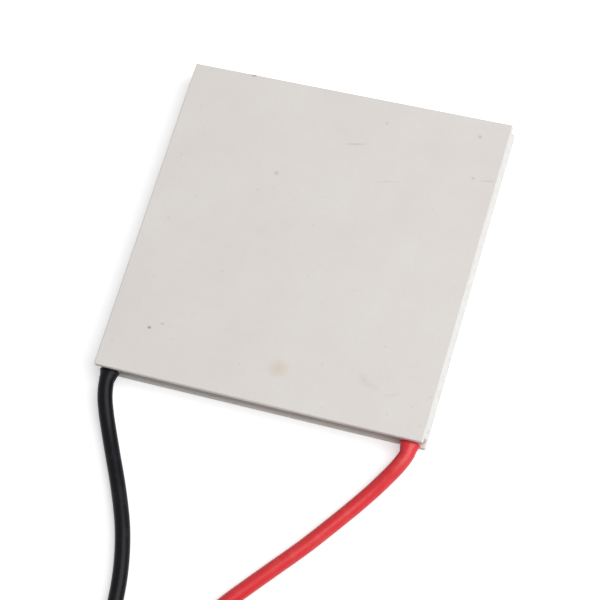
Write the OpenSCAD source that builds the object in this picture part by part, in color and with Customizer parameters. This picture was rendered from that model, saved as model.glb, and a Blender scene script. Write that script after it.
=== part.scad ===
// Thermoelectric cooling module: 127 couples between two ceramic plates, with a silicone
// edge seal and two insulated leads, which lie on the table and end in neat coils.
// Frame: the origin is under the middle of the hot plate, X runs along the lead edge,
// Y runs away from the leads and +Z points out of the cold face. Millimetres.

/* [Ceramic plates] */
// Width of both plates, along the edge where the leads come out
plate_w = 40; // [36:0.5:62]
// Depth of both plates, square to the lead edge
plate_d = 40; // [36:0.5:62]
// Thickness of each plate
plate_t = 0.7; // [0.5:0.05:1.5]
// Size of the fine break along every plate edge
plate_break = 0.08; // [0.02:0.01:0.2]

/* [Couples] */
// Width of each semiconductor pellet, which is square in plan
pellet_w = 1.4; // [1:0.05:1.6]
// Height of each pellet
pellet_h = 1.2; // [1.15:0.05:2.5]
// Thickness of the solder layer at each end of a pellet
solder_t = 0.05; // [0.03:0.01:0.1]
// Solder that shows round the foot of a pellet
solder_lip = 0.06; // [0.02:0.01:0.12]
// Thickness of each copper strap
strap_t = 0.3; // [0.3:0.05:0.6]
// Copper that shows round the pellets on a strap
strap_lip = 0.2; // [0.13:0.01:0.25]
// Bare ceramic between a plate edge and the first row of cells
cell_margin = 0.8; // [0.6:0.05:1]

/* [Edge seal] */
// How far the seal stands back from the plate edges
seal_recess = 0.1; // [0.02:0.01:0.2]
// Depth of the hollow that runs along the outside of the seal
seal_hollow = 0.12; // [0.03:0.01:0.2]
// Flat strip that the seal keeps along each plate
seal_land = 0.15; // [0.05:0.01:0.3]
// Gap between the seal and the outermost straps
seal_gap = 0.2; // [0.1:0.01:0.3]

/* [Leads] */
// Diameter over the insulation of each lead
lead_d = 1.8; // [1.2:0.05:1.9]
// Width of the flattened insulation where a lead leaves the plates
root_w = 2.45; // [1.9:0.05:2.7]
// How far out from the plates the flattened insulation reaches
root_l = 1.3; // [0.8:0.1:2]
// Diameter of the tinned strands inside a lead
core_d = 0.9; // [0.6:0.05:1]
// Solder that covers the strands on a terminal pad
core_film = 0.05; // [0.02:0.01:0.1]
// Radius of the solder fillet between the strands and the pad
fillet_r = 0.5; // [0.2:0.05:0.6]
// Distance from the end of the strands to the first pellet
core_gap = 0.4; // [0.2:0.05:0.6]
// Length of bare tinned strands at the free end of a lead
tinned_l = 6; // [3:0.5:8]

/* [Coils] */
// Diameter of a coil at the middle of its turns
coil_d = 18; // [17:0.5:22]
// Thickness of the strap of the tie that holds a coil
tie_t = 0.3; // [0.2:0.05:0.5]
// Width of that strap
tie_w = 2.5; // [1.5:0.1:4]
// Length of the block that locks the strap, in and out from the coil
tie_head = 1.8; // [1:0.1:3]

/* [Hidden] */
$fn = 48;

// The couples stand on a grid that is fixed for this kind of module. Two cells at the lead
// edge stay free for the leads.
columns = 16;
rows = 16;
pitch_x = (plate_w - 2 * cell_margin) / columns;
pitch_y = (plate_d - 2 * cell_margin) / rows;
strap_w = pellet_w + 2 * strap_lip;
function cell_x(column) = (column + 0.5) * pitch_x - plate_w / 2 + cell_margin;
function cell_y(row) = (row + 0.5) * pitch_y - plate_d / 2 + cell_margin;

// Levels, from the hot plate up
hot_strap_z = plate_t;
hot_solder_z = hot_strap_z + strap_t;
pellet_z = hot_solder_z + solder_t;
cold_solder_z = pellet_z + pellet_h;
cold_strap_z = cold_solder_z + solder_t;
cold_plate_z = cold_strap_z + strap_t;
room_h = cold_plate_z - plate_t;
mid_z = plate_t + room_h / 2;

// The seal's inner face stays clear of the outer straps. Its hollow is a shallow arc.
seal_in_x = cell_margin + (pitch_x - strap_w) / 2 - seal_gap;
seal_in_y = cell_margin + (pitch_y - strap_w) / 2 - seal_gap;
hollow_half = room_h / 2 - seal_land;
hollow_r = (hollow_half * hollow_half + seal_hollow * seal_hollow) / (2 * seal_hollow);

// Each lead lies along the outer edge of its terminal pad, half way up between the plates.
lead_r = lead_d / 2;
core_r = core_d / 2;
film_r = core_r + core_film;
lead_x = cell_x(columns - 1) + strap_w / 2 - film_r;
lead_in_y = seal_in_y - plate_d / 2;
core_end_y = cell_y(1) - pellet_w / 2 - core_gap;

// A coil has two layers. The lead spirals in along the lower one and out along the upper.
layer_turns = 2.125;
coil_out_r = coil_d / 2 + layer_turns * lead_d / 2;
coil_half_w = layer_turns * lead_d / 2 + lead_r;
coil_h = 2 * lead_d;

// Route of each lead: across and out from the plate edge, and how far it is held above
// lying on the table.
exit_h = mid_z - lead_r;
root = [[0, 0, exit_h], [0, -root_l / 3, exit_h], [0, -root_l, exit_h]];
black_route = [
    each root, [0.4, -3.1, 0.85 * exit_h], [1.1, -4.9, 0.5 * exit_h],
    [2, -6.8, 0.15 * exit_h], [3.35, -9.4, 0], [4.75, -12, 0], [6.05, -14.6, 0],
    [7.2, -17.2, 0], [8.1, -19.9, 0], [8.75, -22.6, 0], [9.15, -25.2, 0], [9.4, -28.2, 0],
    [9.5, -31.5, 0], [9.5, -35, 0.5 * tie_t], [9.5, -38.5, tie_t], [9.5, -44, tie_t]
];
red_route = [
    each root, [-0.65, -2.9, 0.85 * exit_h], [-1.6, -4.5, 0.5 * exit_h],
    [-2.7, -6.2, 0.15 * exit_h], [-4.4, -8.7, 0], [-6.25, -11.3, 0], [-8.55, -14.4, 0],
    [-11, -17.4, 0], [-13.45, -20.4, 0], [-15.4, -22.9, 0], [-16.95, -25.5, 0],
    [-17.75, -28.2, 0], [-18, -31, 0.5 * tie_t], [-18, -33, tie_t], [-18, -38, tie_t]
];

// How much wider than round a lead is, y beyond the plate edge
function root_spread(y) =
    y > 0 ? 1 : 1 + (root_w / lead_d - 1) * max(0, min(1, 1.5 * (1 + y / root_l)));

// The tail leaves the top of the coil, drops to the table and lies beside the coil.
// Across and out from the middle of the coil, for the red lead.
top_h = tie_t + lead_d;
tail_route = [
    [0, -coil_out_r, top_h], [3, -coil_out_r, top_h], [6.4, -coil_out_r, top_h],
    [9, -9.6, 0.5 * top_h], [11, -7.4, 0], [12.4, -4.6, 0]
];
tail_last = len(tail_route) - 1;
tie_angle = 30;

function column_name(kind, column) =
    str(kind, "_pellets_column_", column < 9 ? "0" : "", column + 1);

ceramic = [0.87, 0.86, 0.84];
silicone = [0.95, 0.95, 0.93];
copper = [0.78, 0.47, 0.3];
solder = [0.72, 0.73, 0.75];
p_type = [0.36, 0.36, 0.39];
n_type = [0.24, 0.25, 0.3];
red_vinyl = [0.8, 0.12, 0.14];
black_vinyl = [0.08, 0.08, 0.1];
tie_nylon = [0.9, 0.9, 0.88];

// ---- Ceramic plates ----

// A flat outline with its four corners cut off
module cut_outline(w, h, cut) {
    x = w / 2;
    y = h / 2;
    polygon([[cut - x, -y], [x - cut, -y], [x, cut - y], [x, y - cut],
             [x - cut, y], [cut - x, y], [-x, y - cut], [-x, cut - y]]);
}

// A fired alumina plate, with every edge finely broken
module plate() {
    color(ceramic) translate([0, 0, plate_t / 2]) intersection() {
        linear_extrude(plate_t, center = true) cut_outline(plate_w, plate_d, plate_break);
        rotate([90, 0, 0]) linear_extrude(plate_d, center = true)
            cut_outline(plate_w, plate_t, plate_break);
        rotate([90, 0, 90]) linear_extrude(plate_w, center = true)
            cut_outline(plate_d, plate_t, plate_break);
    }
}

module cold_plate() { translate([0, 0, cold_plate_z]) plate(); }
module hot_plate() { plate(); }

// ---- Couples: pellets, straps and solder, joined in one series path ----

// The path climbs the even columns and comes down the odd ones. It starts and ends at the
// two lead cells, which hold no pellet.
function is_lead_cell(column, row) = row == 0 && (column == 0 || column == columns - 1);
function is_p_type(column, row) = (column + row) % 2 == 0;

// A block that stands on a cell, w by d in plan
module cell_block(x, y, z, w, d, h) {
    translate([x - w / 2, y - d / 2, z]) cube([w, d, h]);
}

module pellet_column(column, p) {
    color(p ? p_type : n_type)
        for (row = [0 : rows - 1])
            if (!is_lead_cell(column, row) && is_p_type(column, row) == p)
                cell_block(cell_x(column), cell_y(row), pellet_z, pellet_w, pellet_w, pellet_h);
}

module solder_layer(z) {
    pad = pellet_w + 2 * solder_lip;
    color(solder)
        for (column = [0 : columns - 1], row = [0 : rows - 1])
            if (!is_lead_cell(column, row))
                cell_block(cell_x(column), cell_y(row), z, pad, pad, solder_t);
}

// A strap over two cells of one column, starting at the given row
module column_strap(column, row, z) {
    y = (cell_y(row) + cell_y(row + 1)) / 2;
    color(copper) cell_block(cell_x(column), y, z, strap_w, pitch_y + strap_w, strap_t);
}

// A strap over two cells of one row, which leads the path to the next column
module row_link(column, row) {
    x = (cell_x(column) + cell_x(column + 1)) / 2;
    color(copper) cell_block(x, cell_y(row), cold_strap_z, pitch_x + strap_w, strap_w, strap_t);
}

module cold_column_straps() {
    for (column = [0 : columns - 1], row = [1 : 2 : rows - 3])
        column_strap(column, row, cold_strap_z);
}

module cold_far_links() {
    for (column = [0 : 2 : columns - 2]) row_link(column, rows - 1);
}

module cold_near_links() {
    for (column = [1 : 2 : columns - 3]) row_link(column, 0);
}

module hot_straps() {
    for (column = [0 : columns - 1], row = [0 : 2 : rows - 2])
        if (!is_lead_cell(column, row)) column_strap(column, row, hot_strap_z);
}

module black_terminal_pad() { column_strap(0, 0, hot_strap_z); }
module red_terminal_pad() { column_strap(columns - 1, 0, hot_strap_z); }

// ---- Edge seal ----

// A bead of silicone that fills the room between the plates all round. The leads pass
// through it at the two ends of the lead edge.
module edge_seal() {
    color(silicone) difference() {
        translate([0, 0, plate_t]) linear_extrude(room_h) difference() {
            square([plate_w - 2 * seal_recess, plate_d - 2 * seal_recess], center = true);
            square([plate_w - 2 * seal_in_x, plate_d - 2 * seal_in_y], center = true);
        }
        for (side = [-1, 1]) {
            hollow_reach = hollow_r - seal_recess - seal_hollow;
            translate([side * (plate_w / 2 + hollow_reach), 0, mid_z])
                rotate([90, 0, 0]) cylinder(r = hollow_r, h = 2 * plate_d, center = true);
            translate([0, side * (plate_d / 2 + hollow_reach), mid_z])
                rotate([0, 90, 0]) cylinder(r = hollow_r, h = 2 * plate_w, center = true);
            translate([side * lead_x, lead_in_y + seal_gap / 2, mid_z])
                rotate([90, 0, 0]) cylinder(r = lead_r, h = 2 * seal_in_y);
        }
    }
}

// ---- Lead ends inside the module ----

// Stripped strands that lie over the terminal pad
module lead_core(side) {
    color(solder) translate([side * lead_x, core_end_y, mid_z])
        rotate([90, 0, 0]) cylinder(r = core_r, h = core_end_y - lead_in_y);
}

// Solder that holds the strands to the pad, with a hollow fillet on the inner side
module lead_solder(side) {
    pad_front = cell_y(0) - strap_w / 2;
    pad_top = hot_strap_z + strap_t;
    rise = mid_z - pad_top;
    cap = core_gap / 4;
    color(solder) difference() {
        translate([side * lead_x, core_end_y + cap, pad_top]) mirror([(1 + side) / 2, 0, 0])
            rotate([90, 0, 0]) linear_extrude(core_end_y + cap - pad_front) {
                translate([0, rise]) circle(film_r);
                translate([-film_r, 0]) square([2 * film_r, rise]);
                translate([film_r, 0]) difference() {
                    square(fillet_r);
                    translate([fillet_r, fillet_r]) circle(fillet_r);
                }
            }
        translate([side * lead_x, core_end_y, mid_z])
            rotate([90, 0, 0]) cylinder(r = core_r, h = plate_d);
    }
}

// ---- Leads on the table ----

function unit(v) = v / norm(v);
function route_dir(route, i) =
    unit(route[min(i + 1, len(route) - 1)] - route[max(i - 1, 0)]);

// One ring of a swept tube, square to the route and wider than round at the root
function tube_ring(route, i, sides) =
    let (ahead = route_dir(route, i), across = unit(cross(ahead, [0, 0, 1])),
         above = cross(across, ahead), wide = root_spread(route[i].y))
    [for (k = [0 : sides - 1]) let (turn = 360 * k / sides)
        route[i] + lead_r * (wide * cos(turn) * across + sin(turn) * above)];

module tube(route, sides = 12) {
    last = len(route) - 1;
    points = [for (i = [0 : last]) each tube_ring(route, i, sides)];
    walls = [for (i = [0 : last - 1], k = [0 : sides - 1])
        let (next = (k + 1) % sides, a = i * sides, b = (i + 1) * sides)
        [a + k, b + k, b + next, a + next]];
    start = [for (k = [0 : sides - 1]) k];
    end = [for (k = [sides - 1 : -1 : 0]) last * sides + k];
    polyhedron(points, concat(walls, [start], [end]), convexity = 4);
}

// Places on the table of one lead's exit and of the middle of its coil
function exit_place(side) = [side * lead_x, -plate_d / 2, lead_r];
function coil_place(side, route) =
    let (p = route[len(route) - 1])
    [side * lead_x + p.x + side * coil_out_r, p.y - plate_d / 2, lead_r];

// The insulated lead from the inner face of the seal to the start of its coil
module lead(side, route) {
    through_seal = [[0, seal_in_y, exit_h], [0, seal_recess, exit_h]];
    translate(exit_place(side)) tube(concat(through_seal, route));
}

function mirrored(route, side) = [for (p = route) [side * p.x, p.y, p.z]];

module tail(side, route) {
    translate(coil_place(side, route)) tube(mirrored(tail_route, side));
}

// Bare tinned strands that go straight on from the tail
module tinned_end(side, route) {
    points = mirrored(tail_route, side);
    ahead = points[tail_last] - points[tail_last - 1];
    color(solder) translate(coil_place(side, route) + points[tail_last])
        rotate([0, 90, atan2(ahead.y, ahead.x)]) cylinder(r = core_r, h = tinned_l);
}

// Section through the wound turns, grown by a wall
module turns_section(wall) {
    r = lead_r + wall;
    w = coil_half_w + wall;
    h = coil_h / 2 + wall;
    square([2 * (w - r), 2 * h], center = true);
    square([2 * w, 2 * (h - r)], center = true);
    for (x = [-1, 1], y = [-1, 1]) translate([x * (w - r), y * (h - r)]) circle(r);
}

// The outer shape of the wound turns, open where the lead runs in and the tail runs out
module coil(side, route) {
    translate(coil_place(side, route) - [0, 0, lead_r]) difference() {
        translate([0, 0, tie_t + coil_h / 2]) rotate_extrude()
            translate([coil_d / 2, 0]) turns_section(0);
        translate([-side * coil_out_r, 0, tie_t + lead_r])
            rotate([-90, 0, 0]) cylinder(r = lead_r, h = coil_d);
        translate([0, -coil_out_r, top_h + lead_r])
            rotate([0, side * 90, 0]) cylinder(r = lead_r, h = coil_d);
    }
}

// A strap round all the turns with its locking block on the outside
module tie(side, route) {
    sweep = 360 * tie_w / (PI * coil_d);
    head_h = coil_h / 2;
    color(tie_nylon) translate(coil_place(side, route) - [0, 0, lead_r])
        mirror([(1 - side) / 2, 0, 0]) rotate(tie_angle) {
            translate([0, 0, tie_t + coil_h / 2]) rotate(-sweep / 2)
                rotate_extrude(angle = sweep) translate([coil_d / 2, 0]) difference() {
                    turns_section(tie_t);
                    turns_section(0);
                }
            translate([coil_d / 2 + coil_half_w + tie_t / 2, -tie_w / 2, tie_t + head_h / 2])
                cube([tie_head, tie_w, head_h]);
        }
}

module black_lead() { color(black_vinyl) lead(-1, black_route); }
module red_lead() { color(red_vinyl) lead(1, red_route); }
module black_lead_coil() { color(black_vinyl) coil(-1, black_route); }
module red_lead_coil() { color(red_vinyl) coil(1, red_route); }
module black_lead_tail() { color(black_vinyl) tail(-1, black_route); }
module red_lead_tail() { color(red_vinyl) tail(1, red_route); }

cold_plate();
hot_plate();
edge_seal();
cold_column_straps();
cold_far_links();
cold_near_links();
hot_straps();
black_terminal_pad();
red_terminal_pad();
solder_layer(cold_solder_z);  // cold_side_solder
solder_layer(hot_solder_z);  // hot_side_solder
lead_solder(-1);  // black_lead_solder
lead_solder(1);  // red_lead_solder
lead_core(-1);  // black_lead_core
lead_core(1);  // red_lead_core
for (column = [0 : columns - 1]) {
    pellet_column(column, true);
    pellet_column(column, false);
}
black_lead();
red_lead();
black_lead_coil();
red_lead_coil();
black_lead_tail();
red_lead_tail();
tinned_end(-1, black_route);  // black_lead_tinned_end
tinned_end(1, red_route);  // red_lead_tinned_end
tie(-1, black_route);  // black_lead_tie
tie(1, red_route);  // red_lead_tie
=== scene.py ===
import math
import random

import bmesh
import bpy
from mathutils import Matrix, Vector, noise
from mathutils.kdtree import KDTree


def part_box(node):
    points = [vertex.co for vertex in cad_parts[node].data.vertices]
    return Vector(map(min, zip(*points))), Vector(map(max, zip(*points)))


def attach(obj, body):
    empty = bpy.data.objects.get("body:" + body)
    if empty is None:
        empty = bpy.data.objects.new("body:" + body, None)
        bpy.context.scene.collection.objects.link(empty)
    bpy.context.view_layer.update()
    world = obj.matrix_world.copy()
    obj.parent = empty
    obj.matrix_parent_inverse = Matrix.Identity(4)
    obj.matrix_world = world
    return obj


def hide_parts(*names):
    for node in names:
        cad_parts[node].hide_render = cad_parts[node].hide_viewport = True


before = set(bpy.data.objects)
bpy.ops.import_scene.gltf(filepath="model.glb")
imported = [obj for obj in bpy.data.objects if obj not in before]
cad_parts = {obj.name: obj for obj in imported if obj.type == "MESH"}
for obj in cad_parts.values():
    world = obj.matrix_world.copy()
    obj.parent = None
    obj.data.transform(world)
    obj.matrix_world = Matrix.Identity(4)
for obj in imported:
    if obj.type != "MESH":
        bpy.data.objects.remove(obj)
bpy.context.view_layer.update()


# ---- Camera ----
# It looks down on the cold face from beyond the red lead, with a long lens. It is rolled,
# so that the lead edge runs down to the right across the picture.
MM = 0.001
TARGET = Vector((1.56, -6.85, 3.3)) * MM
DISTANCE = 233.3 * MM
AZIMUTH = math.radians(40.55)
ELEVATION = math.radians(66.96)
ROLL = math.radians(25.54)
LENS = 120.67

back = Vector((
    math.sin(AZIMUTH) * math.cos(ELEVATION),
    -math.cos(AZIMUTH) * math.cos(ELEVATION),
    math.sin(ELEVATION),
))
level_right = Vector((math.cos(AZIMUTH), math.sin(AZIMUTH), 0))
level_up = back.cross(level_right)
right = level_right * math.cos(ROLL) - level_up * math.sin(ROLL)
up = level_up * math.cos(ROLL) + level_right * math.sin(ROLL)

scene = bpy.context.scene
lens = bpy.data.cameras.new("camera")
lens.lens = LENS
lens.clip_start = 0.01
lens.clip_end = 20
camera = bpy.data.objects.new("camera", lens)
scene.collection.objects.link(camera)
camera.matrix_world = Matrix.Translation(TARGET + back * DISTANCE) @ Matrix(
    (right, up, back)
).transposed().to_4x4()
scene.camera = camera


# ---- Black lead and red lead ----
# Tinned copper strands in extruded vinyl, which come out through the seal at the two ends
# of one edge. Each lies on the table, is wound in a flat coil of two layers and ends in a
# short tail beside the coil.
LEAD_R = 0.9 * MM
LEAD_X = 18.4 * MM
COIL_R = 9 * MM
LAYER_TURNS = 2.125
COIL_OUT_R = COIL_R + LAYER_TURNS * LEAD_R
TURN_POINTS = 16
CLIMB_TURNS = 0.2
# In plain millimetres, as the routes are
ROOT_L = 1.3
TIE_T = 0.3
SEAL_DEPTH = 0.8

cold_low, cold_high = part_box("cold_plate")
hot_low, hot_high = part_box("hot_plate")
seal_low, seal_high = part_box("edge_seal")
MID_Z = (cold_low.z + hot_high.z) / 2
EXIT_Y = cold_low.y
EXIT_H = (MID_Z - LEAD_R) / MM

# Across and out from the exit, and the height above lying on the table, in millimetres
ROOT = [(0, 0, EXIT_H), (0, -ROOT_L / 3, EXIT_H), (0, -ROOT_L, EXIT_H)]
BLACK_ROUTE = ROOT + [
    (0.4, -3.1, 0.85 * EXIT_H), (1.1, -4.9, 0.5 * EXIT_H),
    (2, -6.8, 0.15 * EXIT_H), (3.35, -9.4, 0), (4.75, -12, 0), (6.05, -14.6, 0),
    (7.2, -17.2, 0), (8.1, -19.9, 0), (8.75, -22.6, 0), (9.15, -25.2, 0), (9.4, -28.2, 0),
    (9.5, -31.5, 0), (9.5, -35, 0.5 * TIE_T), (9.5, -38.5, TIE_T), (9.5, -44, TIE_T),
]
RED_ROUTE = ROOT + [
    (-0.65, -2.9, 0.85 * EXIT_H), (-1.6, -4.5, 0.5 * EXIT_H),
    (-2.7, -6.2, 0.15 * EXIT_H), (-4.4, -8.7, 0), (-6.25, -11.3, 0), (-8.55, -14.4, 0),
    (-11, -17.4, 0), (-13.45, -20.4, 0), (-15.4, -22.9, 0), (-16.95, -25.5, 0),
    (-17.75, -28.2, 0), (-18, -31, 0.5 * TIE_T), (-18, -33, TIE_T), (-18, -38, TIE_T),
]
# From the middle of the red lead's coil: off the upper layer, down and along its side
TOP_H = TIE_T + 2 * LEAD_R / MM
TAIL_ROUTE = [
    (3, -COIL_OUT_R / MM, TOP_H), (6.4, -COIL_OUT_R / MM, TOP_H), (9, -9.6, 0.5 * TOP_H),
    (11, -7.4, 0), (12.4, -4.6, 0),
]


def on_table(origin, point, side=1):
    return origin + Vector((side * point[0], point[1], point[2])) * MM


def coil_points(middle, side):
    """In along the lower layer, up at its inner end and out along the upper layer."""
    points = []
    for step in range(1, int(2 * LAYER_TURNS * TURN_POINTS) + 1):
        turn = step / TURN_POINTS
        radius = COIL_OUT_R - 2 * LEAD_R * min(turn, 2 * LAYER_TURNS - turn)
        climb = min(max((turn - LAYER_TURNS) / CLIMB_TURNS + 0.5, 0), 1)
        height = TIE_T * MM + 2 * LEAD_R * climb * climb * (3 - 2 * climb)
        angle = math.pi + turn * 2 * math.pi
        points.append(middle + Vector((
            side * radius * math.cos(angle), radius * math.sin(angle), height,
        )))
    return points


def lay_smoothly(spline, line):
    """Round handles at every point, level wherever the lead already lies flat."""
    spline.bezier_points.add(len(line) - 1)
    for index, knot in enumerate(spline.bezier_points):
        before = line[max(index - 1, 0)]
        after = line[min(index + 1, len(line) - 1)]
        ahead = after - before
        if line[index].z in (before.z, after.z):
            ahead.z = 0
        ahead.normalize()
        knot.co = line[index]
        knot.handle_left_type = knot.handle_right_type = "FREE"
        knot.handle_left = line[index] - ahead * (line[index] - before).length / 3
        knot.handle_right = line[index] + ahead * (after - line[index]).length / 3


def node_maker(material):
    """Turns on a material's nodes and returns its Principled BSDF and short ways to add and
    join nodes.
    """
    material.use_nodes = True
    tree = material.node_tree

    def add(kind, **values):
        node = tree.nodes.new(kind)
        for name, value in values.items():
            if hasattr(node, name):
                setattr(node, name, value)
            else:
                node.inputs[name.replace("_", " ").title()].default_value = value
        return node

    def join(source, socket, target, name):
        tree.links.new(source.outputs[socket], target.inputs[name])

    return tree.nodes["Principled BSDF"], add, join


def vinyl(name, colour, scuff, specular):
    """Extruded vinyl: a soft satin skin with faint scuffs and fine relief."""
    material = bpy.data.materials.new(name)
    skin, add, join = node_maker(material)
    place = add("ShaderNodeTexCoord")
    patches = add("ShaderNodeTexNoise", Scale=420, Detail=5, Roughness=0.6)
    join(place, "Object", patches, "Vector")
    worn = add("ShaderNodeValToRGB")
    worn.color_ramp.elements[0].position = 0.52
    worn.color_ramp.elements[0].color = (*colour, 1)
    worn.color_ramp.elements[1].position = 0.76
    worn.color_ramp.elements[1].color = (*scuff, 1)
    join(patches, "Fac", worn, "Fac")
    join(worn, "Color", skin, "Base Color")
    grain = add("ShaderNodeTexNoise", Scale=1900, Detail=4)
    join(place, "Object", grain, "Vector")
    satin = add("ShaderNodeMapRange")
    satin.inputs["To Min"].default_value = 0.26
    satin.inputs["To Max"].default_value = 0.42
    join(patches, "Fac", satin, "Value")
    join(satin, "Result", skin, "Roughness")
    relief = add("ShaderNodeBump", Strength=0.12, Distance=0.00008)
    join(grain, "Fac", relief, "Height")
    join(relief, "Normal", skin, "Normal")
    skin.inputs["Specular IOR Level"].default_value = specular
    return material


black_vinyl = vinyl("black_vinyl", (0.003, 0.003, 0.005), (0.016, 0.016, 0.021), 0.12)
red_vinyl = vinyl("red_vinyl", (0.68, 0.028, 0.036), (0.72, 0.07, 0.07), 0.35)
# The side that each lead leaves from, its route and its insulation
LEADS = {"black": (-1, BLACK_ROUTE, black_vinyl), "red": (1, RED_ROUTE, red_vinyl)}
COIL_MIDDLES = {}
TAIL_ENDS = {}
for colour, (side, route, insulation) in LEADS.items():
    exit_point = Vector((side * LEAD_X, EXIT_Y, LEAD_R))
    inner_end = on_table(exit_point, (0, seal_low.y / MM - EXIT_Y / MM + SEAL_DEPTH, EXIT_H))
    line = [inner_end] + [on_table(exit_point, point) for point in route]
    middle = line[-1] + Vector((side * COIL_OUT_R, 0, 0))
    middle.z = LEAD_R
    line += coil_points(middle, side)
    line += [on_table(middle, point, side) for point in TAIL_ROUTE]
    COIL_MIDDLES[colour] = middle
    TAIL_ENDS[colour] = line[-2:]

    wire = bpy.data.curves.new(f"{colour}_lead_wire", "CURVE")
    wire.dimensions = "3D"
    wire.bevel_depth = LEAD_R
    wire.bevel_resolution = 6
    wire.resolution_u = 6
    wire.use_fill_caps = True
    lay_smoothly(wire.splines.new("BEZIER"), line)
    wire.materials.append(insulation)
    piece = bpy.data.objects.new(wire.name, wire)
    scene.collection.objects.link(piece)
    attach(piece, "root")
    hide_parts(f"{colour}_lead", f"{colour}_lead_coil", f"{colour}_lead_tail")


# ---- Flattened roots of the leads ----
# Where the insulation was held hot against the plates it has spread sideways. The same
# vinyl, wider than it is high at the plate edge and round again a little further out.
ROOT_SIDES = 28
# Millimetres out from the plate edge, and the width and height there against the lead's
ROOT_STATIONS = [
    (0.1, 0.99, 0.99), (0.04, 1.24, 1.0), (-0.05, 1.34, 1.02), (-0.2, 1.31, 1.03),
    (-0.45, 1.2, 1.03), (-0.75, 1.1, 1.02), (-1.1, 1.03, 1.01), (-1.4, 0.98, 0.98),
]
for colour, (side, route, insulation) in LEADS.items():
    root_bm = bmesh.new()
    ring = bmesh.ops.create_circle(root_bm, segments=ROOT_SIDES, radius=LEAD_R)["verts"]
    bmesh.ops.rotate(root_bm, verts=ring, matrix=Matrix.Rotation(math.pi / 2, 3, "X"))
    edges = list(root_bm.edges)
    placed = [(ring, ROOT_STATIONS[0])]
    for station in ROOT_STATIONS[1:]:
        grown = bmesh.ops.extrude_edge_only(root_bm, edges=edges)["geom"]
        edges = [part for part in grown if isinstance(part, bmesh.types.BMEdge)]
        ring = [part for part in grown if isinstance(part, bmesh.types.BMVert)]
        placed.append((ring, station))
    for verts, (out, wide, high) in placed:
        for vert in verts:
            lump = 1 + 0.05 * noise.noise(vert.co * 900 + Vector((side, out, 0)) * 3)
            vert.co.x = side * LEAD_X + vert.co.x * wide * lump
            vert.co.z = MID_Z + vert.co.z * high
            vert.co.y = EXIT_Y + out * MM
    bmesh.ops.subdivide_edges(
        root_bm, edges=list(root_bm.edges), cuts=1, smooth=0.6, use_grid_fill=True,
    )
    bmesh.ops.recalc_face_normals(root_bm, faces=list(root_bm.faces))
    for face in root_bm.faces:
        face.smooth = True
    root_mesh = bpy.data.meshes.new(f"{colour}_lead_root")
    root_bm.to_mesh(root_mesh)
    root_bm.free()
    root_mesh.materials.append(insulation)
    piece = bpy.data.objects.new(root_mesh.name, root_mesh)
    scene.collection.objects.link(piece)
    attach(piece, "root")


# ---- Tinned ends ----
# Seven copper strands, twisted together and dipped in solder, left bare at the far end of
# each lead.
STRAND_R = 0.15 * MM
STRIP_L = 6 * MM
LAY = math.radians(250)
STRAND_STEPS = 24
tinned = bpy.data.materials.new("tinned_strands")
skin, add, join = node_maker(tinned)
place = add("ShaderNodeTexCoord")
dull = add("ShaderNodeTexNoise", Scale=2600, Detail=4)
join(place, "Object", dull, "Vector")
shade = add("ShaderNodeValToRGB")
shade.color_ramp.elements[0].color = (0.46, 0.46, 0.47, 1)
shade.color_ramp.elements[1].color = (0.72, 0.72, 0.73, 1)
join(dull, "Fac", shade, "Fac")
join(shade, "Color", skin, "Base Color")
smear = add("ShaderNodeMapRange")
smear.inputs["To Min"].default_value = 0.22
smear.inputs["To Max"].default_value = 0.5
join(dull, "Fac", smear, "Value")
join(smear, "Result", skin, "Roughness")
skin.inputs["Metallic"].default_value = 1
for colour, (near, end) in TAIL_ENDS.items():
    ahead = (end - near).normalized()
    strands = bmesh.new()
    for strand in range(7):
        centre = Vector((2 * STRAND_R, 0, 0)) if strand else Vector()
        centre.rotate(Matrix.Rotation(strand * math.pi / 3, 3, "Z"))
        foot = bmesh.ops.create_circle(
            strands, cap_ends=True, segments=10, radius=STRAND_R,
            matrix=Matrix.Translation(centre),
        )["verts"]
        faces = list({face for vert in foot for face in vert.link_faces})
        bmesh.ops.spin(
            strands, geom=foot + faces, cent=(0, 0, 0), axis=(0, 0, 1), angle=LAY,
            dvec=(0, 0, STRIP_L / STRAND_STEPS), steps=STRAND_STEPS,
        )
    turn = ahead.to_track_quat("Z", "Y").to_matrix().to_4x4()
    bmesh.ops.transform(strands, matrix=Matrix.Translation(end) @ turn, verts=strands.verts)
    bmesh.ops.recalc_face_normals(strands, faces=list(strands.faces))
    for face in strands.faces:
        face.smooth = True
    strand_mesh = bpy.data.meshes.new(f"{colour}_lead_strands")
    strands.to_mesh(strand_mesh)
    strands.free()
    strand_mesh.materials.append(tinned)
    piece = bpy.data.objects.new(strand_mesh.name, strand_mesh)
    scene.collection.objects.link(piece)
    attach(piece, "root")
    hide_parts(f"{colour}_lead_tinned_end")


# ---- Ties ----
# A moulded nylon strap round all the turns of a coil, pulled through a small locking
# block on the outside, which stands on the table.
TIE_W = 2.5 * MM
TIE_HEAD = 1.8 * MM
STRAP_T = TIE_T * MM
COIL_H = 4 * LEAD_R
TIE_ANGLE = 30
nylon = bpy.data.materials.new("tie_nylon")
skin, add, join = node_maker(nylon)
place = add("ShaderNodeTexCoord")
cloud = add("ShaderNodeTexNoise", Scale=700, Detail=3)
join(place, "Object", cloud, "Vector")
milk = add("ShaderNodeValToRGB")
milk.color_ramp.elements[0].color = (0.66, 0.66, 0.62, 1)
milk.color_ramp.elements[1].color = (0.8, 0.8, 0.77, 1)
join(cloud, "Fac", milk, "Fac")
join(milk, "Color", skin, "Base Color")
relief = add("ShaderNodeBump", Strength=0.15, Distance=0.00005)
join(cloud, "Fac", relief, "Height")
join(relief, "Normal", skin, "Normal")
skin.inputs["Roughness"].default_value = 0.38
skin.inputs["Subsurface Weight"].default_value = 0.15
skin.inputs["Subsurface Radius"].default_value = (0.0006, 0.0006, 0.0005)
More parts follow.
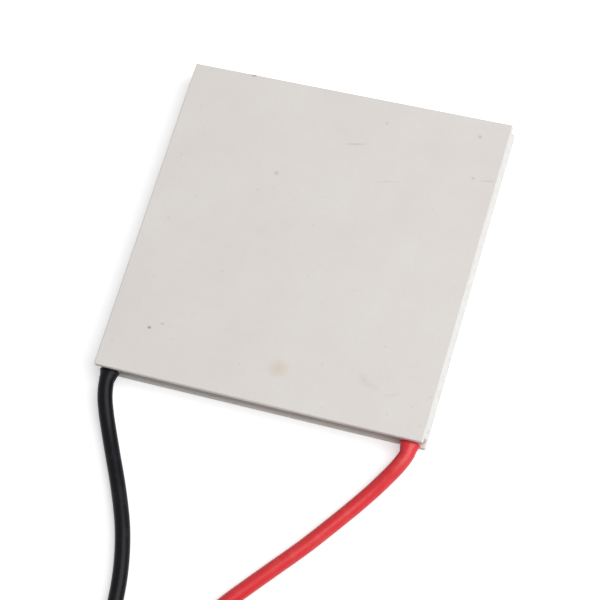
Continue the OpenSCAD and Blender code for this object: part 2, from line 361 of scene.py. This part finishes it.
for colour, (side, route, insulation) in LEADS.items():
    half_w = LAYER_TURNS * LEAD_R + LEAD_R
    tie_bm = bmesh.new()
    # The strap's outer face; its wall is given inwards, down to the turns
    section = bmesh.ops.create_grid(tie_bm, x_segments=1, y_segments=1, size=0.5)["verts"]
    bmesh.ops.scale(tie_bm, verts=section, vec=(
        2 * (half_w + STRAP_T), COIL_H + 2 * STRAP_T, 1,
    ))
    bmesh.ops.bevel(
        tie_bm, geom=section, offset=LEAD_R + STRAP_T, segments=7, profile=0.5,
        affect="VERTICES", material=-1,
    )
    bmesh.ops.delete(tie_bm, geom=list(tie_bm.faces), context="FACES_ONLY")
    loop = list(tie_bm.edges)
    # Wound about the coil's own middle, so that the strap follows its curve
    upright = Matrix.Rotation(math.pi / 2, 4, "X")
    over_turns = Matrix.Translation((COIL_R, 0, STRAP_T + COIL_H / 2))
    bmesh.ops.transform(tie_bm, matrix=over_turns @ upright, verts=tie_bm.verts)
    sweep = TIE_W / COIL_R
    bmesh.ops.rotate(tie_bm, verts=tie_bm.verts, matrix=Matrix.Rotation(-sweep / 2, 3, "Z"))
    bmesh.ops.spin(
        tie_bm, geom=loop + list(tie_bm.verts), cent=(0, 0, 0), axis=(0, 0, 1),
        angle=sweep, steps=6,
    )
    bmesh.ops.recalc_face_normals(tie_bm, faces=list(tie_bm.faces))
    bmesh.ops.solidify(tie_bm, geom=list(tie_bm.faces), thickness=STRAP_T)
    head = bmesh.ops.create_cube(tie_bm, size=1)["verts"]
    bmesh.ops.scale(tie_bm, verts=head, vec=(TIE_HEAD, TIE_W, COIL_H / 2))
    bmesh.ops.translate(tie_bm, verts=head, vec=(
        COIL_R + half_w + STRAP_T / 2 + TIE_HEAD / 2, 0, STRAP_T + COIL_H / 4,
    ))
    head_edges = list({edge for vert in head for edge in vert.link_edges})
    bmesh.ops.bevel(
        tie_bm, geom=head_edges, offset=0.15 * MM, segments=3, profile=0.5,
        affect="EDGES", material=-1,
    )
    # The strap's cut end stands a little out of the top of the block
    end_part = bmesh.ops.create_cube(tie_bm, size=1)["verts"]
    bmesh.ops.scale(tie_bm, verts=end_part, vec=(STRAP_T, TIE_W * 0.8, 1.1 * MM))
    bmesh.ops.translate(tie_bm, verts=end_part, vec=(
        COIL_R + half_w + TIE_HEAD / 2 + STRAP_T, 0, STRAP_T + COIL_H / 2 + 0.35 * MM,
    ))
    end_edges = list({edge for vert in end_part for edge in vert.link_edges})
    bmesh.ops.bevel(
        tie_bm, geom=end_edges, offset=0.05 * MM, segments=2, profile=0.5,
        affect="EDGES", material=-1,
    )
    angle = math.radians(TIE_ANGLE if side > 0 else 180 - TIE_ANGLE)
    middle = COIL_MIDDLES[colour] - Vector((0, 0, LEAD_R))
    bmesh.ops.transform(
        tie_bm, matrix=Matrix.Translation(middle) @ Matrix.Rotation(angle, 4, "Z"),
        verts=tie_bm.verts,
    )
    tie_mesh = bpy.data.meshes.new(f"{colour}_coil_tie")
    tie_bm.to_mesh(tie_mesh)
    tie_bm.free()
    tie_mesh.materials.append(nylon)
    piece = bpy.data.objects.new(tie_mesh.name, tie_mesh)
    scene.collection.objects.link(piece)
    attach(piece, "root")
    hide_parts(f"{colour}_lead_tie")


# ---- Ceramic plates ----
# Two fired alumina plates, snapped from a larger sheet. Off-white with a faint cloudy
# mottle, a few dark grains, and on the cold face some light scratches and stains, and a
# dark spot of painted shade where the far edge is chipped.
alumina = bpy.data.materials.new("alumina")
skin, add, join = node_maker(alumina)
place = add("ShaderNodeTexCoord")


def mixed(base, socket, mask, mask_socket, colour):
    """Lays a colour over what base gives, as far as the mask lets it through."""
    mix = add("ShaderNodeMix", data_type="RGBA")
    join(mask, mask_socket, mix, "Factor")
    tree = alumina.node_tree
    tree.links.new(base.outputs[socket], mix.inputs[6])
    mix.inputs[7].default_value = (*colour, 1)
    return mix


def spot(x, y, length, width, turn, strength):
    """A soft mark on the cold face: its place, size and turn, all in the plate's plane."""
    aim = add("ShaderNodeMapping", vector_type="TEXTURE")
    aim.inputs["Location"].default_value = (x * MM, y * MM, cold_high.z)
    aim.inputs["Rotation"].default_value = (0, 0, math.radians(turn))
    aim.inputs["Scale"].default_value = (length * MM / 2, width * MM / 2, 0.3 * MM)
    join(place, "Object", aim, "Vector")
    ball = add("ShaderNodeTexGradient", gradient_type="SPHERICAL")
    join(aim, "Vector", ball, "Vector")
    level = add("ShaderNodeMath", operation="MULTIPLY")
    join(ball, "Fac", level, 0)
    level.inputs[1].default_value = strength
    return level


cloudy = add("ShaderNodeTexNoise", Scale=140, Detail=6, Roughness=0.62)
join(place, "Object", cloudy, "Vector")
body = add("ShaderNodeValToRGB")
body.color_ramp.elements[0].position = 0.3
body.color_ramp.elements[0].color = (0.735, 0.695, 0.672, 1)
body.color_ramp.elements[1].position = 0.7
body.color_ramp.elements[1].color = (0.765, 0.732, 0.7, 1)
join(cloudy, "Fac", body, "Fac")
# Fine sintered grain, only just to be seen
grain = add("ShaderNodeTexNoise", Scale=3800, Detail=3)
join(place, "Object", grain, "Vector")
fine = add("ShaderNodeMapRange")
fine.inputs["From Min"].default_value = 0.55
fine.inputs["From Max"].default_value = 0.8
fine.inputs["To Max"].default_value = 0.35
join(grain, "Fac", fine, "Value")
look = mixed(body, "Color", fine, "Result", (0.66, 0.63, 0.6))
# Scattered dark grains: cells of which only the very middle shows
cells = add("ShaderNodeTexVoronoi", Scale=420)
join(place, "Object", cells, "Vector")
dots = add("ShaderNodeMapRange")
dots.inputs["From Min"].default_value = 0.09
dots.inputs["From Max"].default_value = 0.03
dots.inputs["To Max"].default_value = 0.14
join(cells, "Distance", dots, "Value")
look = mixed(look, 2, dots, "Result", (0.3, 0.28, 0.26))
MARKS = [
    # x, y, length, width, turn, strength, colour
    (1.5, -15.5, 3.0, 2.6, 10, 0.5, (0.66, 0.5, 0.34)),
    (11.5, -14.5, 2.4, 1.3, -45, 0.3, (0.5, 0.5, 0.44)),
    (12.7, -15.0, 2.2, 1.0, -20, 0.2, (0.52, 0.5, 0.45)),
    (15.1, -15.5, 2.6, 0.5, 22, 0.25, (0.5, 0.47, 0.42)),
    (2.45, 13.7, 3.1, 0.28, 12, 0.5, (0.42, 0.37, 0.34)),
    (7.4, 9.8, 3.4, 0.3, 12, 0.3, (0.48, 0.43, 0.4)),
    (18.9, 12.4, 2.6, 0.22, 12, 0.5, (0.42, 0.37, 0.33)),
    (17.2, 12.4, 0.6, 0.5, 0, 0.5, (0.4, 0.36, 0.33)),
    (16.6, 17.75, 0.7, 0.6, 0, 0.5, (0.35, 0.32, 0.3)),
    (-5.9, 8.0, 0.8, 0.7, 0, 0.5, (0.4, 0.36, 0.34)),
    (5.3, 17.1, 0.7, 0.6, 0, 0.35, (0.42, 0.38, 0.36)),
    (-14.9, -14.2, 0.6, 0.5, 0, 0.85, (0.16, 0.13, 0.12)),
    (-13.5, -13.4, 0.6, 0.5, 0, 0.45, (0.35, 0.32, 0.3)),
    # Painted shade: a dark spot on the far edge that stands for the shaded hollow of a small
    # chip
    (-12.4, 20.0, 1.0, 0.7, 12, 1.0, (0.2, 0.17, 0.17)),
]
for x, y, length, width, turn, strength, colour in MARKS:
    mark = spot(x, y, length, width, turn, strength)
    look = mixed(look, 2, mark, 0, colour)
join(look, 2, skin, "Base Color")
bloom = add("ShaderNodeMapRange")
bloom.inputs["To Min"].default_value = 0.5
bloom.inputs["To Max"].default_value = 0.68
join(cloudy, "Fac", bloom, "Value")
join(bloom, "Result", skin, "Roughness")
relief = add("ShaderNodeBump", Strength=0.1, Distance=0.00004)
join(grain, "Fac", relief, "Height")
join(relief, "Normal", skin, "Normal")
skin.inputs["Specular IOR Level"].default_value = 0.35


def finish_node(name, material):
    """Gives a carried-over solid its finish."""
    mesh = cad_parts[name].data
    mesh.materials.clear()
    mesh.materials.append(material)


for name in ("cold_plate", "hot_plate"):
    finish_node(name, alumina)


# ---- Straps, solder and pellets ----
# Copper straps bonded to the plates, tin solder, and blocks sawn from bismuth telluride
# crystal. They fill the room inside the seal and are seen only with a plate taken off.
def metal(name, dark, light, scale, roughness):
    """Plated or rolled metal with patches of tarnish."""
    material = bpy.data.materials.new(name)
    skin, add, join = node_maker(material)
    place = add("ShaderNodeTexCoord")
    tarnish = add("ShaderNodeTexNoise", Scale=scale, Detail=5, Roughness=0.6)
    join(place, "Object", tarnish, "Vector")
    tone = add("ShaderNodeValToRGB")
    tone.color_ramp.elements[0].position = 0.32
    tone.color_ramp.elements[0].color = (*dark, 1)
    tone.color_ramp.elements[1].position = 0.68
    tone.color_ramp.elements[1].color = (*light, 1)
    join(tarnish, "Fac", tone, "Fac")
    join(tone, "Color", skin, "Base Color")
    rough = add("ShaderNodeMapRange")
    rough.inputs["To Min"].default_value = roughness - 0.1
    rough.inputs["To Max"].default_value = roughness + 0.14
    join(tarnish, "Fac", rough, "Value")
    join(rough, "Result", skin, "Roughness")
    relief = add("ShaderNodeBump", Strength=0.15, Distance=0.00003)
    join(tarnish, "Fac", relief, "Height")
    join(relief, "Normal", skin, "Normal")
    skin.inputs["Metallic"].default_value = 1
    return material


def crystal(name, dark, light):
    """Sawn crystal: flat grains of slightly different greys, with fine saw lines."""
    material = bpy.data.materials.new(name)
    skin, add, join = node_maker(material)
    place = add("ShaderNodeTexCoord")
    grains = add("ShaderNodeTexVoronoi", Scale=2400)
    join(place, "Object", grains, "Vector")
    tone = add("ShaderNodeValToRGB")
    tone.color_ramp.elements[0].color = (*dark, 1)
    tone.color_ramp.elements[1].color = (*light, 1)
    join(grains, "Color", tone, "Fac")
    join(tone, "Color", skin, "Base Color")
    saw = add("ShaderNodeTexWave", Scale=9000, Distortion=1.5)
    saw.bands_direction = "Z"
    join(place, "Object", saw, "Vector")
    relief = add("ShaderNodeBump", Strength=0.1, Distance=0.00002)
    join(saw, "Fac", relief, "Height")
    join(relief, "Normal", skin, "Normal")
    skin.inputs["Metallic"].default_value = 0.85
    skin.inputs["Roughness"].default_value = 0.42
    return material


copper = metal("strap_copper", (0.5, 0.2, 0.1), (0.78, 0.4, 0.25), 500, 0.35)
solder = metal("tin_solder", (0.42, 0.42, 0.43), (0.7, 0.7, 0.71), 1500, 0.36)
p_crystal = crystal("p_pellet_crystal", (0.16, 0.16, 0.17), (0.3, 0.3, 0.32))
n_crystal = crystal("n_pellet_crystal", (0.1, 0.1, 0.125), (0.2, 0.2, 0.24))
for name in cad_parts:
    if name.startswith("p_pellets"):
        finish_node(name, p_crystal)
    elif name.startswith("n_pellets"):
        finish_node(name, n_crystal)
    elif name.endswith(("_straps", "_links", "_terminal_pad")):
        finish_node(name, copper)
    elif name.endswith(("_solder", "_lead_core")):
        finish_node(name, solder)


# ---- Edge seal ----
# White silicone, run in all round between the plates and smoothed off. It stands a little
# proud in places and sinks in along the lead edge. There its colour is painted darker and
# browner: the darkness is painted shade of the side turned from the lamp, the brown a flux
# stain.
SEAL_H = seal_high.z - seal_low.z
SIDE_X = cold_high.x
SIDE_Y = cold_high.y
CORNER_R = 0.9 * MM
STEP = 0.16 * MM
# Height up the seal, and how far the wall stands out from its own line there
WALL = [
    (0.0, -0.25), (0.03, -0.12), (0.1, -0.03), (0.2, 0.02), (0.32, 0.04), (0.44, 0.05),
    (0.56, 0.04), (0.68, 0.01), (0.8, -0.05), (0.9, -0.13), (0.97, -0.22), (1.0, -0.32),
]
seal = bmesh.new()
wall_verts = [
    seal.verts.new((SIDE_X + out * MM, CORNER_R - SIDE_Y, seal_low.z + height * SEAL_H))
    for height, out in WALL
]
inner = SIDE_X - SEAL_DEPTH * MM
wall_verts.append(seal.verts.new((inner, CORNER_R - SIDE_Y, seal_high.z)))
wall_verts.insert(0, seal.verts.new((inner, CORNER_R - SIDE_Y, seal_low.z)))
profile = [seal.edges.new(pair) for pair in zip(wall_verts, wall_verts[1:] + wall_verts[:1])]
front = wall_verts + profile
for x_sign, y_sign, run, ahead in (
    (1, 1, 2 * (SIDE_Y - CORNER_R), (0, 1, 0)), (-1, 1, 2 * (SIDE_X - CORNER_R), (-1, 0, 0)),
    (-1, -1, 2 * (SIDE_Y - CORNER_R), (0, -1, 0)), (1, -1, 2 * (SIDE_X - CORNER_R), (1, 0, 0)),
):
    steps = round(run / STEP)
    front = bmesh.ops.spin(
        seal, geom=front, cent=(0, 0, 0), axis=(0, 0, 1), angle=0,
        dvec=Vector(ahead) * run / steps, steps=steps,
    )["geom_last"]
    corner = Vector((x_sign * (SIDE_X - CORNER_R), y_sign * (SIDE_Y - CORNER_R), 0))
    front = bmesh.ops.spin(
        seal, geom=front, cent=corner, axis=(0, 0, 1), angle=math.pi / 2, steps=8,
    )["geom_last"]
bmesh.ops.remove_doubles(seal, verts=seal.verts, dist=0.01 * MM)

random.seed(7)
PITS = [((20.0, -9.6, 1.6), 0.34), ((20.0, -13.5, 1.5), 0.26), ((19.9, -18.6, 1.6), 0.6)]
for _ in range(46):
    along = random.uniform(-19, 19)
    where = random.choice(((20, along), (20, along), (-20, along), (along, 20), (along, -20)))
    PITS.append(((*where, random.uniform(1.1, 2.3)), random.uniform(0.12, 0.24)))
pits = KDTree(len(PITS))
for index, (place_mm, size) in enumerate(PITS):
    pits.insert(Vector(place_mm) * MM, index)
pits.balance()
for vert in seal.verts:
    x, y = vert.co.x, vert.co.y
    if max(abs(x) - inner, abs(y) - (SIDE_Y - SEAL_DEPTH * MM)) < 0.05 * MM:
        continue
    level = (vert.co.z - seal_low.z) / SEAL_H
    belly = math.sin(math.pi * min(max(level, 0), 1))
    outward = Vector((
        max(abs(x) - SIDE_X + CORNER_R, 0) * math.copysign(1, x),
        max(abs(y) - SIDE_Y + CORNER_R, 0) * math.copysign(1, y), 0,
    ))
    if outward.length == 0:
        continue
    outward.normalize()
    push = 0.0
    push += 0.16 * max(outward.x, 0) * (1.15 - level) * belly
    push += 0.10 * max(-outward.x, 0) * belly
    push -= 0.36 * max(-outward.y, 0)
    push -= 0.05 * max(outward.y, 0)
    push += 0.05 * noise.noise(vert.co * 420) * belly
    push += 0.025 * noise.noise(vert.co * 1500) * belly
    where, index, distance = pits.find(vert.co)
    size = PITS[index][1] * MM
    if distance < size:
        push -= 0.5 * PITS[index][1] * (1 - (distance / size) ** 2)
    vert.co += outward * push * MM
bmesh.ops.recalc_face_normals(seal, faces=list(seal.faces))
for face in seal.faces:
    face.smooth = True
seal_mesh = bpy.data.meshes.new("silicone_seal")
seal.to_mesh(seal_mesh)
seal.free()

silicone = bpy.data.materials.new("silicone")
skin, add, join = node_maker(silicone)
place = add("ShaderNodeTexCoord")
blotch = add("ShaderNodeTexNoise", Scale=900, Detail=4)
join(place, "Object", blotch, "Vector")
white = add("ShaderNodeValToRGB")
white.color_ramp.elements[0].color = (0.62, 0.63, 0.61, 1)
white.color_ramp.elements[1].color = (0.8, 0.81, 0.79, 1)
join(blotch, "Fac", white, "Fac")
axes = add("ShaderNodeSeparateXYZ")
join(place, "Object", axes, "Vector")
# Painted shade: the seal's colour is made darker towards the lead edge, which faces away from
# the lamp, and tinted brown there for a flux stain
lead_side_shade_mask = add("ShaderNodeMapRange")
lead_side_shade_mask.inputs["From Min"].default_value = EXIT_Y + 1.0 * MM
lead_side_shade_mask.inputs["From Max"].default_value = EXIT_Y + 0.5 * MM
lead_side_shade_mask.inputs["To Max"].default_value = 0.85
join(axes, "Y", lead_side_shade_mask, "Value")
flux_stain_and_shade = add("ShaderNodeValToRGB")
flux_stain_and_shade.color_ramp.elements[0].position = 0.2
flux_stain_and_shade.color_ramp.elements[0].color = (0.33, 0.31, 0.28, 1)
flux_stain_and_shade.color_ramp.elements[1].position = 0.8
flux_stain_and_shade.color_ramp.elements[1].color = (0.46, 0.33, 0.27, 1)
across = add("ShaderNodeMapRange")
across.inputs["From Min"].default_value = cold_low.x
across.inputs["From Max"].default_value = cold_high.x
join(axes, "X", across, "Value")
join(across, "Result", flux_stain_and_shade, "Fac")
stained_and_shaded_seal = add("ShaderNodeMix", data_type="RGBA")
join(lead_side_shade_mask, "Result", stained_and_shaded_seal, "Factor")
silicone.node_tree.links.new(white.outputs["Color"], stained_and_shaded_seal.inputs[6])
silicone.node_tree.links.new(flux_stain_and_shade.outputs["Color"], stained_and_shaded_seal.inputs[7])
silicone.node_tree.links.new(stained_and_shaded_seal.outputs[2], skin.inputs["Base Color"])
skin.inputs["Roughness"].default_value = 0.5
relief = add("ShaderNodeBump", Strength=0.25, Distance=0.00006)
join(blotch, "Fac", relief, "Height")
join(relief, "Normal", skin, "Normal")
seal_mesh.materials.append(silicone)
piece = bpy.data.objects.new("silicone_seal", seal_mesh)
scene.collection.objects.link(piece)
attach(piece, "root")
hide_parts("edge_seal")


# ---- Table and light ----
# A pale table that shows white to the camera and keeps the shadow, one large soft lamp
# beside and above the red lead's edge, and a weak even sky.
TABLE_LEVEL = 0.45
SKY_LEVEL = 0.22
table_bm = bmesh.new()
bmesh.ops.create_grid(table_bm, x_segments=1, y_segments=1, size=3)
table_mesh = bpy.data.meshes.new("table")
table_bm.to_mesh(table_mesh)
table_bm.free()
table = bpy.data.objects.new("table", table_mesh)
scene.collection.objects.link(table)


def seen_ray(nodes, links):
    """1 for what the camera sees directly, in a reflection or through glass."""
    ray = nodes.new("ShaderNodeLightPath")
    first = nodes.new("ShaderNodeMath")
    first.operation = "MAXIMUM"
    links.new(ray.outputs["Is Camera Ray"], first.inputs[0])
    links.new(ray.outputs["Is Glossy Ray"], first.inputs[1])
    both = nodes.new("ShaderNodeMath")
    both.operation = "MAXIMUM"
    links.new(first.outputs[0], both.inputs[0])
    links.new(ray.outputs["Is Transmission Ray"], both.inputs[1])
    return both.outputs[0]


paper = bpy.data.materials.new("table")
paper.use_nodes = True
nodes, links = paper.node_tree.nodes, paper.node_tree.links
nodes.remove(nodes["Principled BSDF"])
matt = nodes.new("ShaderNodeBsdfDiffuse")
matt.inputs["Color"].default_value = (0.82, 0.82, 0.82, 1)
glow = nodes.new("ShaderNodeEmission")
level = nodes.new("ShaderNodeMath")
level.operation = "MULTIPLY"
level.inputs[1].default_value = TABLE_LEVEL
links.new(seen_ray(nodes, links), level.inputs[0])
links.new(level.outputs[0], glow.inputs["Strength"])
both = nodes.new("ShaderNodeAddShader")
links.new(matt.outputs[0], both.inputs[0])
links.new(glow.outputs[0], both.inputs[1])
links.new(both.outputs[0], nodes["Material Output"].inputs["Surface"])
table_mesh.materials.append(paper)

sky = bpy.data.worlds.new("sky")
scene.world = sky
sky.use_nodes = True
nodes, links = sky.node_tree.nodes, sky.node_tree.links
strength = nodes.new("ShaderNodeMapRange")
strength.inputs["To Min"].default_value = SKY_LEVEL
strength.inputs["To Max"].default_value = 1
links.new(seen_ray(nodes, links), strength.inputs["Value"])
links.new(strength.outputs["Result"], nodes["Background"].inputs["Strength"])
nodes["Background"].inputs["Color"].default_value = (1, 1, 1, 1)

LAMP_DISTANCE = 0.7
LAMP_ELEVATION = math.radians(53)
LAMP_AZIMUTH = math.radians(10)
LAMP_POWER = 5.5
lamp_light = bpy.data.lights.new("softbox", "AREA")
lamp_light.shape = "RECTANGLE"
lamp_light.size = 0.55
lamp_light.size_y = 0.75
lamp_light.energy = LAMP_POWER
lamp = bpy.data.objects.new("softbox", lamp_light)
scene.collection.objects.link(lamp)
towards_lamp = Vector((
    math.cos(LAMP_AZIMUTH) * math.cos(LAMP_ELEVATION),
    math.sin(LAMP_AZIMUTH) * math.cos(LAMP_ELEVATION),
    math.sin(LAMP_ELEVATION),
))
lamp.location = towards_lamp * LAMP_DISTANCE
lamp.rotation_euler = towards_lamp.to_track_quat("Z", "Y").to_euler()
scene.view_settings.view_transform = "Standard"
